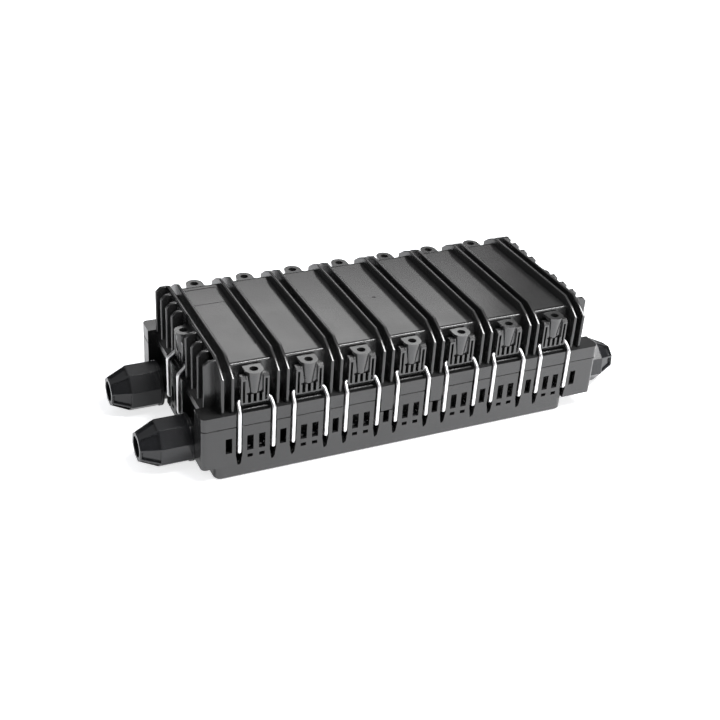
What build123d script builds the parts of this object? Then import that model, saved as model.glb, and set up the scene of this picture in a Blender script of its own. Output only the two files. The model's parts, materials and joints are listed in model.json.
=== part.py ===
from build123d import *
from math import atan, cos, degrees, radians, sin
import os

# Dual-end fibre splice closure, closed, with sixteen wire clips around its seam.
# Millimetres, +Z up, X along the closure and Y across it. The origin lies under the
# middle of the flange, on the plane of the keel that the closure stands on.

os.makedirs("parts", exist_ok=True)

# Clip pitch along the long sides
bay_pitch = 46.0
bay_count = 7

# Seam flange and lower shell
flange_end = 22.5
flange_width = 168.0
flange_radius = 4.0
seam_height = 49.0
flange_thickness = 12.0
ear_bottom = 13.0
keel_left_inset = 11.5
keel_right_inset = 28.5
keel_inset = 1.0
keel_radius = 6.0
keel_chamfer = 1.5
floor_thickness = 4.0
shell_wall = 4.0

# Outer skirt that guards the clips
skirt_wall = 3.0
pocket_depth = 8.0
bay_pocket_width = 36.0
gap_pocket_width = 6.8
pocket_bottom = 14.0
lid_pocket_roof = 3.5
leg_slot_width = 5.4
leg_slot_bottom = 20.5
leg_notch_top_width = 4.6
leg_notch_mid_width = 3.7
leg_notch_mid = 15.6
leg_notch_tip_width = 1.6
leg_notch_tip = 11.8
leg_slot_relief = 1.2
tall_window_width = 5.4
tall_window_bottom = 25.2
tall_window_height = 14.0
low_window_width = 4.6
low_window_bottom = 18.2
low_window_height = 3.1
window_offset = 5.0
cut_margin = 0.5

# Ends: recesses for the nuts, plates for the end clips
end_wall_inset = 11.5
end_plate_inset = 3.5
lid_end_inset = 7.0
lid_end_slope = 6.0
port_inset = 40.0
port_z = 20.6
port_recess_half = 21.6

# Seal between the shells
seal_width = 3.6
seal_height = 3.8
seal_side_gap = 0.3
tongue_height = 1.2

# Upper shell
panel_height = 97.0
cover_inset = 17.0
cover_wall = 3.0
cover_end_wall = 4.5
cover_edge_radius = 1.6
rib_spacing = 8.2
rib_thickness = 2.8
rib_foot_inset = 2.8
rib_foot_drop = 4.2
rib_shoulder_run = 8.2
rib_shoulder_rise = 1.8
rib_crown_run = 12.0
rib_crown_rise = 7.5
trough_depth = 6.0
fin_reach = 9.5
fin_rise = 5.5
fin_thickness = 2.7
fin_pitch = 15.3
fin_first = 19.0
fins_per_side = 4
fin_chamfer = 4.0
end_notch_width = 18.0
end_notch_drop = 2.0
lever_room_width = 27.0
lever_room_gap = 0.8
bead_groove = 1.2
bead_inset = 2.8
bead_width = 23.0
seam_tab_width = 10.8
seam_tab_drop = 12.0
seam_tab_wall = 2.4
seam_tab_gap = 0.8
label_recess_depth = 0.4
label_recess_length = 104.0
label_recess_inset = 3.0
gate_dimple_radius = 1.6
gate_dimple_depth = 0.5

# Wire bail
wire_diameter = 3.2
wire_flats = 8
leg_spacing = 28.8
leg_inset = -0.8
crossbar_inset = 6.6
crossbar_height = 25.0
bail_bend_rise = 1.2
lever_pivot_rise = 7.6
stub_depth = 4.2
pin_clearance = 0.1
lug_offset = 10.4
lug_width = 2.6
pin_bore_sides = 8
screw_sides = 8

# Latch lever
lever_width = 23.4
lever_foot_drop = 6.6
lever_foot_thickness = 3.0
lever_plate_drop = 2.5
lever_reach = 22.4
lever_front = 4.4
lever_thickness = 5.6
lever_slot_width = 1.6
lever_slot_inset = 1.9
lever_slot_rise = 3.2
lever_slot_height = 16.6
short_slot_width = 2.0
short_slot_pitch = 4.4
short_slot_height = 5.0
short_slot_drop = 1.6
boss_radius = 7.3
boss_foot_radius = 4.0
boss_foot_rise = 4.4
boss_rise = 4.0
boss_axis = 8.6
boss_back = 14.0
boss_sides = 12
socket_radius = 3.0
socket_depth = 14.0

# Cable ports and gland nuts
spigot_radius = 15.2
spigot_length = 31.0
port_bore_radius = 12.5
port_boss_radius = 18.0
port_boss_depth = 24.0
port_floor_drop = 5.0
nut_base_gap = 9.3
nut_corner_radius = 20.4
nut_turn = 16.0
nut_sides = 8
nut_collar_radius = 20.2
nut_collar_length = 3.0
nut_body_length = 27.6
nut_cone_length = 16.4
nut_nose_radius = 12.6
nut_hole_radius = 8.8
nut_pocket_depth = 1.8
nut_rib_width = 2.6
nut_pocket_inset = 3.6
thread_clearance = 0.1
ring_thickness = 2.0
ring_gap = 0.1
ring_inset = 0.6
grommet_gap = 0.3
grommet_head = 3.0
grommet_depth = 18.0
grommet_side_gap = 0.2

# Tray stack inside
bracket_overhang = 7.0
bracket_width = 92.0
bracket_thickness = 2.0
bracket_boss_radius = 4.0
bracket_boss_height = 4.0
bracket_hole_inset = 10.0
screw_radius = 1.4
screw_clearance = 0.2
screw_head_radius = 3.0
screw_head_height = 2.0
tray_stand_height = 20.0
tray_stand_width = 40.0
tray_stand_thickness = 3.0
tray_end_inset = 54.0
tray_width = 104.0
tray_height = 10.6
tray_corner = 18.0
tray_wall = 1.6
tray_count = 4
guide_radius = 24.0
guide_offset = 62.0
guide_height = 7.0
guide_sides = 16
comb_teeth = 6
comb_pitch = 4.4
comb_tooth_length = 34.0
tray_cover_thickness = 1.5

# Cable fixings inside
clamp_inset = 34.0
clamp_length = 12.0
clamp_width = 34.0
clamp_saddle_radius = 9.5
clamp_cap_height = 14.0
clamp_split_gap = 0.6
clamp_screw_offset = 13.0
clamp_screw_bite = 8.0
member_clamp_inset = 36.0
member_clamp_y = 12.0
member_clamp_size = 10.0
member_clamp_height = 16.0
member_slot = 2.5

# Boxes and cylinders stand on their place
on_floor = (Align.CENTER, Align.CENTER, Align.MIN)

# Worked-out places
half_length = bay_count * bay_pitch / 2 + flange_end
half_width = flange_width / 2
flange_top = seam_height + flange_thickness
keel_left = half_length - keel_left_inset
keel_right = half_length - keel_right_inset
end_wall_x = half_length - end_wall_inset
port_y = half_width - port_inset
seam_tab_bottom = seam_height - seam_tab_drop
bail_bend_height = flange_top + bail_bend_rise
lever_pivot_height = flange_top + lever_pivot_rise
lever_foot_height = lever_pivot_height - lever_foot_drop
lever_top = lever_pivot_height + lever_reach
end_notch_bottom = lever_top - end_notch_drop
fin_top = panel_height + fin_rise
bay_centres = [(i - (bay_count - 1) / 2) * bay_pitch for i in range(bay_count)]
pair_centres = [(i - bay_count / 2) * bay_pitch for i in range(bay_count + 1)]
seam_tab_places = (pair_centres[bay_count // 2], pair_centres[bay_count // 2 + 1])
pocket_y = half_width - skirt_wall - pocket_depth / 2
end_plate_x = half_length - end_plate_inset
end_pocket_x = end_plate_x - skirt_wall - pocket_depth / 2
outer_rib_x = pair_centres[-1] + rib_spacing / 2
cover_end_x = outer_rib_x + rib_thickness / 2
cover_half_y = half_width - cover_inset
cavity_half_x = cover_end_x - cover_end_wall
cavity_half_y = cover_half_y - cover_wall
seal_x = (cavity_half_x + end_pocket_x - pocket_depth / 2) / 2
seal_y = (cavity_half_y + pocket_y - pocket_depth / 2) / 2
groove_width = seal_width + 2 * seal_side_gap
groove_depth = seal_height + tongue_height
floor_end = port_z - port_floor_drop
spigot_end_x = end_wall_x + spigot_length
leg_x = leg_spacing / 2
wire_radius = wire_diameter / 2
pin_bore = wire_radius + pin_clearance
lever_half = lever_width / 2
stub_x = lever_half - stub_depth
rib_foot_y = half_width - rib_foot_inset
nut_base_x = end_wall_x + nut_base_gap
nut_length = nut_body_length + nut_cone_length
nut_bore_radius = spigot_radius + thread_clearance
ring_x = spigot_end_x + grommet_head + grommet_gap
nut_shoulder_x = ring_x + ring_thickness + ring_gap
ring_radius = spigot_radius - ring_inset
bracket_bottom = floor_thickness + bracket_boss_height
bracket_top = bracket_bottom + bracket_thickness
tray_base = bracket_top + tray_stand_height
tray_length = 2 * (end_wall_x - tray_end_inset)
bracket_length = tray_length + 2 * bracket_overhang
clamp_x = end_wall_x - clamp_inset
member_clamp_x = end_wall_x - member_clamp_inset
hole_pitch_x = bracket_length - 2 * bracket_hole_inset
hole_pitch_y = bracket_width - 2 * bracket_hole_inset
clamp_places = [(sx * clamp_x, sy * port_y) for sx in (-1, 1) for sy in (-1, 1)]
member_places = [(sx * member_clamp_x, sy * member_clamp_y) for sx in (-1, 1) for sy in (-1, 1)]

# Each clip's seat: origin on the outer face of its skirt, +Y pointing into the closure
clip_seats = {}
for number, centre in enumerate(bay_centres, start=1):
    clip_seats[f"front_{number}"] = Location((centre, -half_width, 0))
    clip_seats[f"rear_{number}"] = Location((centre, half_width, 0), (0, 0, 180))
clip_seats["left_end"] = Location((-end_plate_x, 0, 0), (0, 0, -90))
clip_seats["right_end"] = Location((end_plate_x, 0, 0), (0, 0, 90))

# Each gland's seat: the middle of the spigot's root, +X pointing out of the closure
gland_seats = {
    "front_left": Location((0, -port_y, port_z), (0, 0, 180)),
    "rear_left": Location((0, port_y, port_z), (0, 0, 180)),
    "front_right": Location((0, -port_y, port_z)),
    "rear_right": Location((0, port_y, port_z)),
}


def flange_outline(end_recess_x):
    """Plan of the seam flange, open where the nuts and the end clips sit."""
    with BuildSketch() as outline:
        Rectangle(2 * half_length, flange_width)
        fillet(outline.vertices(), flange_radius)
        for side in (-1, 1):
            reach = half_length - end_recess_x
            with Locations(*[(side * (end_recess_x + reach), y) for y in (-port_y, port_y)]):
                Rectangle(2 * reach, 2 * port_recess_half, mode=Mode.SUBTRACT)
            with Locations((side * half_length, 0)):
                Rectangle(2 * end_plate_inset, 2 * port_y, mode=Mode.SUBTRACT)
    return outline.sketch


def ring_sketch(length, width, thickness):
    """Plan of a rectangular ring whose middle line is length by width."""
    with BuildSketch() as ring:
        Rectangle(length + thickness, width + thickness)
        Rectangle(length - thickness, width - thickness, mode=Mode.SUBTRACT)
    return ring.sketch


def pocket_cutters(bottom, top):
    """Boxes that hollow the flange behind the skirt, one per clip and one per gap."""
    height = top - bottom
    with BuildPart() as cutters:
        for side in (-1, 1):
            with Locations(*[(x, side * pocket_y, bottom) for x in bay_centres]):
                Box(bay_pocket_width, pocket_depth, height, align=on_floor)
            with Locations(*[(x, side * pocket_y, bottom) for x in pair_centres]):
                Box(gap_pocket_width, pocket_depth, height, align=on_floor)
            with Locations((side * end_pocket_x, 0, bottom)):
                Box(pocket_depth, bay_pocket_width, height, align=on_floor)
    return cutters.part


def clip_window_cutter():
    """Windows and leg slots of one clip's skirt, cut from its outer face inwards."""
    half_slot = leg_slot_width / 2
    top = seam_height + cut_margin
    with BuildPart() as cutter:
        with BuildSketch(Plane.XZ.offset(cut_margin)):
            for side in (-1, 1):
                centre = side * leg_x
                with BuildLine():
                    Polyline(
                        (centre - half_slot, top),
                        (centre - half_slot, leg_slot_bottom),
                        (centre - leg_notch_top_width / 2, leg_slot_bottom),
                        (centre - leg_notch_mid_width / 2, leg_notch_mid),
                        (centre - leg_notch_tip_width / 2, leg_notch_tip),
                        (centre + leg_notch_tip_width / 2, leg_notch_tip),
                        (centre + leg_notch_mid_width / 2, leg_notch_mid),
                        (centre + leg_notch_top_width / 2, leg_slot_bottom),
                        (centre + half_slot, leg_slot_bottom),
                        (centre + half_slot, top),
                        close=True,
                    )
                make_face()
                with Locations((side * window_offset, tall_window_bottom + tall_window_height / 2)):
                    Rectangle(tall_window_width, tall_window_height)
                with Locations((side * window_offset, low_window_bottom + low_window_height / 2)):
                    Rectangle(low_window_width, low_window_height)
        extrude(amount=-skirt_wall - 2 * cut_margin)
    return cutter.part


def clip_lugs():
    """The two snap lugs that hold one bail's crossbar in its pocket."""
    with BuildPart() as lugs:
        with Locations(*[(side * lug_offset, skirt_wall + pocket_depth / 2, 0) for side in (-1, 1)]):
            with Locations((0, 0, pocket_bottom - 1)):
                lug_height = crossbar_height + wire_diameter - pocket_bottom + 1
                Box(lug_width, pocket_depth + 1, lug_height, align=on_floor)
        with BuildSketch(Plane.YZ):
            with Locations((crossbar_inset, crossbar_height)):
                RegularPolygon(pin_bore, pin_bore_sides, major_radius=False)
        extrude(amount=bay_pocket_width / 2, both=True, mode=Mode.SUBTRACT)
    return lugs.part


def lid_slot_cutter():
    """The two notches of one clip's legs through the lid's flange, and the bead's groove."""
    with BuildPart() as cutter:
        for side in (-1, 1):
            with Locations((side * leg_x, 0, seam_height)):
                reach = max(leg_inset + wire_radius, 0) + leg_slot_relief
                Box(leg_slot_width, 2 * reach, 3 * flange_thickness, align=on_floor)
        with Locations((0, bead_inset, flange_top)):
            Box(bead_width, bead_groove, 2 * bead_groove)
    return cutter.part


# Lower shell: tray, keel, skirt with its windows, ears and cable spigots
windows = clip_window_cutter()
lugs = clip_lugs()
with BuildPart() as lower_shell:
    with BuildSketch(Plane.XY.offset(ear_bottom)):
        add(flange_outline(end_wall_x))
    extrude(amount=seam_height - ear_bottom)
    with BuildSketch():
        with Locations(((keel_right - keel_left) / 2, 0)):
            RectangleRounded(keel_right + keel_left, flange_width - 2 * keel_inset, keel_radius)
    extrude(amount=ear_bottom)
    chamfer(lower_shell.edges().group_by(Axis.Z)[0], keel_chamfer)
    for seat in gland_seats.values():
        with Locations(seat):
            with Locations(Location((end_wall_x - port_boss_depth, 0, 0), (0, 90, 0))):
                Cylinder(port_boss_radius, port_boss_depth, align=on_floor)
    with Locations((0, 0, floor_end)):
        Box(2 * cavity_half_x, 2 * cavity_half_y, seam_height, align=on_floor, mode=Mode.SUBTRACT)
    keel_cavity_left = min(cavity_half_x, keel_left - shell_wall)
    keel_cavity_right = keel_right - shell_wall
    with Locations(((keel_cavity_right - keel_cavity_left) / 2, 0, floor_thickness)):
        Box(
            keel_cavity_right + keel_cavity_left,
            2 * cavity_half_y,
            seam_height,
            align=on_floor,
            mode=Mode.SUBTRACT,
        )
    with BuildSketch(Plane.XY.offset(floor_thickness)):
        with GridLocations(hole_pitch_x, hole_pitch_y, 2, 2):
            RegularPolygon(bracket_boss_radius, screw_sides)
            RegularPolygon(screw_radius + screw_clearance, screw_sides, mode=Mode.SUBTRACT)
    extrude(amount=bracket_boss_height)
    for seat in gland_seats.values():
        with Locations(seat):
            with Locations(Location((end_wall_x, 0, 0), (0, 90, 0))):
                Cylinder(spigot_radius, spigot_length, align=on_floor)
            with Locations(Location((end_wall_x - port_boss_depth, 0, 0), (0, 90, 0))):
                bore_length = port_boss_depth + spigot_length
                Cylinder(port_bore_radius, bore_length, align=on_floor, mode=Mode.SUBTRACT)
    with BuildSketch(Plane.XY.offset(seam_height)):
        add(ring_sketch(2 * seal_x, 2 * seal_y, groove_width))
    extrude(amount=-groove_depth, mode=Mode.SUBTRACT)
    add(pocket_cutters(pocket_bottom, seam_height + 1), mode=Mode.SUBTRACT)
    add([lugs.moved(seat) for seat in clip_seats.values()])
    add([windows.moved(seat) for seat in clip_seats.values()], mode=Mode.SUBTRACT)
    for side in (-1, 1):
        with Locations(*[(x, side * half_width, tall_window_bottom) for x in pair_centres]):
            Box(
                tall_window_width,
                2 * skirt_wall + 1,
                tall_window_height,
                align=on_floor,
                mode=Mode.SUBTRACT,
            )
        for x in seam_tab_places:
            with Locations((x, side * half_width, seam_tab_bottom - seam_tab_gap)):
                tab_room = seam_tab_width + 2 * seam_tab_gap
                Box(tab_room, 2 * skirt_wall + 1, seam_height, align=on_floor, mode=Mode.SUBTRACT)
lower_shell.part.label = "lower_shell"
export_step(lower_shell.part, "parts/lower_shell.step")

# Upper shell: flange, hollow cover, paired ribs, end fins and seam tabs
with BuildPart() as upper_shell:
    with BuildSketch(Plane.XY.offset(seam_height)):
        add(flange_outline(half_length - lid_end_inset))
    extrude(amount=flange_thickness)
    slope_edges = upper_shell.edges().filter_by(Axis.Y).group_by(Axis.Z)[-1]
    slope_edges = slope_edges.filter_by(
        lambda edge: abs(edge.length - 2 * port_recess_half) < 0.5
        and abs(abs(edge.center().X) - (half_length - lid_end_inset)) < 0.5
    )
    chamfer(slope_edges, lid_end_slope)
    with Locations((0, 0, seam_height)):
        cover_rise = panel_height - seam_height
        Box(2 * cover_end_x, 2 * cover_half_y, cover_rise, align=on_floor)
    fillet(upper_shell.faces().sort_by(Axis.Z)[-1].edges(), cover_edge_radius)
    with Locations(*[(x, 0, panel_height) for x in pair_centres]):
        Box(rib_spacing, flange_width, 2 * trough_depth, mode=Mode.SUBTRACT)
    for centre in pair_centres:
        for side in (-1, 1):
            with BuildSketch(Plane.YZ.offset(centre + side * rib_spacing / 2)):
                with BuildLine():
                    shoulder_y = rib_foot_y - rib_shoulder_run
                    crown_y = shoulder_y - rib_crown_run
                    Polyline(
                        (-rib_foot_y, flange_top - 1),
                        (-rib_foot_y, panel_height - rib_foot_drop),
                        (-shoulder_y, panel_height + rib_shoulder_rise),
                        (-crown_y, panel_height + rib_crown_rise),
                        (crown_y, panel_height + rib_crown_rise),
                        (shoulder_y, panel_height + rib_shoulder_rise),
                        (rib_foot_y, panel_height - rib_foot_drop),
                        (rib_foot_y, flange_top - 1),
                        close=True,
                    )
                make_face()
    extrude(amount=rib_thickness / 2, both=True)
    for end in (-1, 1):
        for side in (-1, 1):
            for step in range(fins_per_side):
                fin_y = side * (fin_first + step * fin_pitch)
                with BuildSketch(Plane.XZ.offset(-fin_y)):
                    root_x = end * (cover_end_x - 1)
                    tip_x = end * (cover_end_x + fin_reach)
                    with BuildLine():
                        Polyline(
                            (root_x, flange_top - 1),
                            (root_x, fin_top),
                            (tip_x - end * fin_chamfer, fin_top),
                            (tip_x, fin_top - fin_chamfer),
                            (tip_x, flange_top - 1),
                            close=True,
                        )
                    make_face()
    extrude(amount=fin_thickness / 2, both=True)
    for end in (-1, 1):
        room_x = end * (end_plate_x - boss_back - lever_room_gap + fin_reach)
        with Locations((room_x, 0, end_notch_bottom)):
            Box(2 * fin_reach, end_notch_width, flange_top, align=on_floor, mode=Mode.SUBTRACT)
        with Locations((room_x, 0, flange_top)):
            room_height = end_notch_bottom - flange_top
            Box(2 * fin_reach, lever_room_width, room_height, align=on_floor, mode=Mode.SUBTRACT)
    inner_height = panel_height - trough_depth - cover_wall - seam_height
    with Locations((0, 0, seam_height)):
        Box(
            2 * cavity_half_x,
            2 * cavity_half_y,
            inner_height,
            align=on_floor,
            mode=Mode.SUBTRACT,
        )
    add(pocket_cutters(seam_height - 1, flange_top - lid_pocket_roof), mode=Mode.SUBTRACT)
    lid_slots = lid_slot_cutter()
    add([lid_slots.moved(seat) for seat in clip_seats.values()], mode=Mode.SUBTRACT)
    with BuildSketch(Plane.XY.offset(seam_height)):
        add(ring_sketch(2 * seal_x, 2 * seal_y, seal_width))
    extrude(amount=-tongue_height)
    for side in (-1, 1):
        for x in seam_tab_places:
            with Locations((x, side * (half_width - seam_tab_wall / 2), seam_tab_bottom)):
                tab_height = seam_height - seam_tab_bottom + 1
                Box(seam_tab_width, seam_tab_wall, tab_height, align=on_floor)
    label_y = cavity_half_y - label_recess_inset - label_recess_length / 2
    with Locations((bay_centres[0], label_y, panel_height)):
        label_width = bay_pitch - rib_spacing - rib_thickness - 2 * label_recess_inset
        Box(label_width, label_recess_length, 2 * label_recess_depth, mode=Mode.SUBTRACT)
    with Locations((bay_centres[bay_count // 2], 0, panel_height)):
        Cylinder(gate_dimple_radius, 2 * gate_dimple_depth, mode=Mode.SUBTRACT)
upper_shell.part.label = "upper_shell"
export_step(upper_shell.part, "parts/upper_shell.step")

# Perimeter seal in the lower shell's groove
with BuildPart() as perimeter_seal:
    with BuildSketch(Plane.XY.offset(seam_height - groove_depth)):
        add(ring_sketch(2 * seal_x, 2 * seal_y, seal_width))
    extrude(amount=seal_height)
perimeter_seal.part.label = "perimeter_seal"
export_step(perimeter_seal.part, "parts/perimeter_seal.step")

# Wire bail: crossbar, two legs and the stubs that carry the lever
with BuildPart() as wire_bail:
    with BuildLine() as bail_line:
        Polyline(
            (-stub_x, crossbar_inset, lever_pivot_height),
            (-leg_x, crossbar_inset, lever_pivot_height),
            (-leg_x, leg_inset, bail_bend_height),
            (-leg_x, leg_inset, crossbar_height),
            (-leg_x, crossbar_inset, crossbar_height),
            (leg_x, crossbar_inset, crossbar_height),
            (leg_x, leg_inset, crossbar_height),
            (leg_x, leg_inset, bail_bend_height),
            (leg_x, crossbar_inset, lever_pivot_height),
            (stub_x, crossbar_inset, lever_pivot_height),
        )
    with BuildSketch(Plane(origin=bail_line.line @ 0, z_dir=bail_line.line % 0)):
        RegularPolygon(wire_radius, wire_flats, rotation=180 / wire_flats)
    sweep(transition=Transition.RIGHT)

# Latch lever: slotted plate with a tapering boss and a socket in its top
with BuildPart() as latch_lever:
    plate_bottom = lever_pivot_height - lever_plate_drop
    with BuildSketch(Plane.XY.offset(plate_bottom)):
        with Locations((0, lever_front + lever_thickness / 2)):
            Rectangle(lever_width, lever_thickness)
    extrude(amount=lever_top - plate_bottom)
    with Locations((0, lever_front + lever_foot_thickness / 2, lever_foot_height)):
        foot_rise = lever_pivot_height - lever_foot_height
        Box(lever_width, lever_foot_thickness, foot_rise, align=on_floor)
    boss_turn = 180 / boss_sides
    with BuildSketch(Plane.XY.offset(lever_pivot_height + boss_foot_rise)):
        with Locations((0, boss_axis)):
            RegularPolygon(boss_foot_radius, boss_sides, rotation=boss_turn)
    with BuildSketch(Plane.XY.offset(lever_top + boss_rise)):
        with Locations((0, boss_axis)):
            RegularPolygon(boss_radius, boss_sides, rotation=boss_turn)
    loft()
    with Locations((0, boss_back, lever_top)):
        back_cut = 2 * (boss_axis + boss_radius - boss_back)
        Box(2 * boss_radius, back_cut, 4 * boss_rise, align=(Align.CENTER, Align.MIN, Align.CENTER),
            mode=Mode.SUBTRACT)
    with BuildSketch(Plane.XY.offset(lever_top + boss_rise)):
        with Locations((0, boss_axis)):
            RegularPolygon(socket_radius, boss_sides)
    extrude(amount=-socket_depth, mode=Mode.SUBTRACT)
    for side in (-1, 1):
        slot_x = side * (lever_half - lever_slot_inset - lever_slot_width / 2)
        with Locations((slot_x, lever_front, lever_pivot_height + lever_slot_rise)):
            Box(
                lever_slot_width,
                4 * lever_thickness,
                lever_slot_height,
                align=on_floor,
                mode=Mode.SUBTRACT,
            )
        with BuildSketch(Plane.YZ.offset(side * lever_half)):
            with Locations((crossbar_inset, lever_pivot_height)):
                RegularPolygon(pin_bore, pin_bore_sides, major_radius=False)
        extrude(amount=-side * (stub_depth + 2 * pin_clearance), mode=Mode.SUBTRACT)
    short_slot_bottom = lever_pivot_height - short_slot_drop
    with Locations(*[(x * short_slot_pitch, lever_front, short_slot_bottom) for x in (-1, 0, 1)]):
        Box(short_slot_width, lever_thickness, short_slot_height, align=on_floor, mode=Mode.SUBTRACT)

for name, seat in clip_seats.items():
    bail = wire_bail.part.moved(seat)
    bail.label = f"wire_bail_{name}"
    export_step(bail, f"parts/wire_bail_{name}.step")
    lever = latch_lever.part.moved(seat)
    lever.label = f"latch_lever_{name}"
    export_step(lever, f"parts/latch_lever_{name}.step")

# Gland nut: octagonal body with a collar, and a cone with eight pockets
nut_flat_half = 180 / nut_sides
with BuildPart() as gland_nut:
    with BuildSketch(Plane.YZ.offset(nut_base_x)):
        RegularPolygon(nut_corner_radius, nut_sides, rotation=nut_turn)
    extrude(amount=nut_body_length)
    with BuildSketch(Plane.YZ.offset(nut_base_x)):
        RegularPolygon(nut_collar_radius, 2 * nut_sides, rotation=nut_turn)
    extrude(amount=nut_collar_length)
    with BuildSketch(Plane.YZ.offset(nut_base_x + nut_body_length)):
        RegularPolygon(nut_corner_radius, nut_sides, rotation=nut_turn)
    with BuildSketch(Plane.YZ.offset(nut_base_x + nut_length)):
        RegularPolygon(nut_nose_radius, nut_sides, rotation=nut_turn)
    loft(ruled=True)
    cone_faces = gland_nut.faces().filter_by(lambda face: 0.1 < face.normal_at().X < 0.9)
    flat_wide = 2 * nut_corner_radius * sin(radians(nut_flat_half))
    flat_narrow = 2 * nut_nose_radius * sin(radians(nut_flat_half))
    flat_shrink = (nut_corner_radius - nut_nose_radius) * cos(radians(nut_flat_half))
    slant = (nut_cone_length**2 + flat_shrink**2) ** 0.5
    side_angle = 90 - degrees(atan((flat_wide - flat_narrow) / 2 / slant))
    for face in cone_faces:
        outward = face.normal_at()
        along = Vector(1, 0, 0) - outward * outward.X
        with BuildSketch(Plane(origin=face.center(), x_dir=along.normalized(), z_dir=outward)):
            Trapezoid(flat_wide - nut_pocket_inset, slant - nut_rib_width, side_angle, rotation=-90)
        extrude(amount=-nut_pocket_depth, mode=Mode.SUBTRACT)
    with Locations(Location((nut_base_x, 0, 0), (0, 90, 0))):
        Cylinder(nut_bore_radius, nut_shoulder_x - nut_base_x, align=on_floor, mode=Mode.SUBTRACT)
        Cylinder(nut_hole_radius, nut_length, align=on_floor, mode=Mode.SUBTRACT)

# Slip ring that the nut pushes against the grommet
with BuildPart() as slip_ring:
    with BuildSketch(Plane.YZ.offset(ring_x)):
        Circle(ring_radius)
        Circle(nut_hole_radius, mode=Mode.SUBTRACT)
    extrude(amount=ring_thickness)

# Rubber grommet: a head on the spigot's end and a plug in its bore
with BuildPart() as grommet:
    with BuildSketch(Plane.YZ.offset(spigot_end_x)):
        Circle(ring_radius)
        Circle(nut_hole_radius, mode=Mode.SUBTRACT)
    extrude(amount=grommet_head)
    with BuildSketch(Plane.YZ.offset(spigot_end_x)):
        Circle(port_bore_radius - grommet_side_gap)
        Circle(nut_hole_radius, mode=Mode.SUBTRACT)
    extrude(amount=-grommet_depth)

for name, seat in gland_seats.items():
    nut = gland_nut.part.moved(seat)
    nut.label = f"gland_nut_{name}"
    export_step(nut, f"parts/gland_nut_{name}.step")
    ring = slip_ring.part.moved(seat)
    ring.label = f"slip_ring_{name}"
    export_step(ring, f"parts/slip_ring_{name}.step")

sealing_grommets = Compound(
    label="sealing_grommets",
    children=[grommet.part.moved(seat) for seat in gland_seats.values()],
)
export_step(sealing_grommets, "parts/sealing_grommets.step")

# Bracket that carries the tray stack
with BuildPart() as tray_bracket:
    with BuildSketch(Plane.XY.offset(bracket_bottom)):
        RectangleRounded(bracket_length, bracket_width, bracket_boss_radius)
        with GridLocations(hole_pitch_x, hole_pitch_y, 2, 2):
            RegularPolygon(screw_radius + screw_clearance, screw_sides, mode=Mode.SUBTRACT)
    extrude(amount=bracket_thickness)
    stand_x = tray_length / 2 - tray_corner
    with Locations((-stand_x, 0, bracket_top), (stand_x, 0, bracket_top)):
        Box(tray_stand_thickness, tray_stand_width, tray_stand_height, align=on_floor)
tray_bracket.part.label = "tray_bracket"
export_step(tray_bracket.part, "parts/tray_bracket.step")

with BuildPart() as bracket_screws:
    with BuildSketch(Plane.XY.offset(bracket_top)):
        with GridLocations(hole_pitch_x, hole_pitch_y, 2, 2):
            RegularPolygon(screw_radius, screw_sides)
    extrude(amount=-bracket_thickness - bracket_boss_height)
    with BuildSketch(Plane.XY.offset(bracket_top)):
        with GridLocations(hole_pitch_x, hole_pitch_y, 2, 2):
            RegularPolygon(screw_head_radius, screw_sides)
    extrude(amount=screw_head_height)
bracket_screws.part.label = "bracket_screws"
export_step(bracket_screws.part, "parts/bracket_screws.step")

# Splice trays, stacked face to face, with fibre guides and a splice comb each
for number in range(1, tray_count + 1):
    base = tray_base + (number - 1) * tray_height
    with BuildPart() as splice_tray:
        with BuildSketch(Plane.XY.offset(base)):
            RectangleRounded(tray_length, tray_width, tray_corner)
        extrude(amount=tray_height)
        with BuildSketch(Plane.XY.offset(base + tray_height)):
            inner_length = tray_length - 2 * tray_wall
            inner_width = tray_width - 2 * tray_wall
            RectangleRounded(inner_length, inner_width, tray_corner - tray_wall)
        extrude(amount=tray_wall - tray_height, mode=Mode.SUBTRACT)
        with BuildSketch(Plane.XY.offset(base + tray_wall)):
            with Locations((-guide_offset, 0), (guide_offset, 0)):
                RegularPolygon(guide_radius, guide_sides)
                RegularPolygon(guide_radius - tray_wall, guide_sides, mode=Mode.SUBTRACT)
            with GridLocations(1, comb_pitch, 1, comb_teeth):
                Rectangle(comb_tooth_length, tray_wall)
        extrude(amount=guide_height)
    splice_tray.part.label = f"splice_tray_{number}"
    export_step(splice_tray.part, f"parts/splice_tray_{number}.step")

with BuildPart() as tray_cover:
    with BuildSketch(Plane.XY.offset(tray_base + tray_count * tray_height)):
        RectangleRounded(tray_length, tray_width, tray_corner)
    extrude(amount=tray_cover_thickness)
tray_cover.part.label = "tray_cover"
export_step(tray_cover.part, "parts/tray_cover.step")

# Cable saddles on the floor, with bolted caps
with BuildPart() as cable_saddles:
    for x, y in clamp_places:
        with Locations((x, y, floor_thickness)):
            Box(clamp_length, clamp_width, port_z - floor_thickness, align=on_floor)
        with Locations(Location((x, y, port_z), (0, 90, 0))):
            Cylinder(clamp_saddle_radius, clamp_length, mode=Mode.SUBTRACT)
        with BuildSketch(Plane.XY.offset(port_z)):
            with Locations(*[(x, y + side * clamp_screw_offset) for side in (-1, 1)]):
                RegularPolygon(screw_radius + screw_clearance, screw_sides)
        extrude(amount=-clamp_screw_bite, mode=Mode.SUBTRACT)
cable_saddles.part.label = "cable_saddles"
export_step(cable_saddles.part, "parts/cable_saddles.step")

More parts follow.
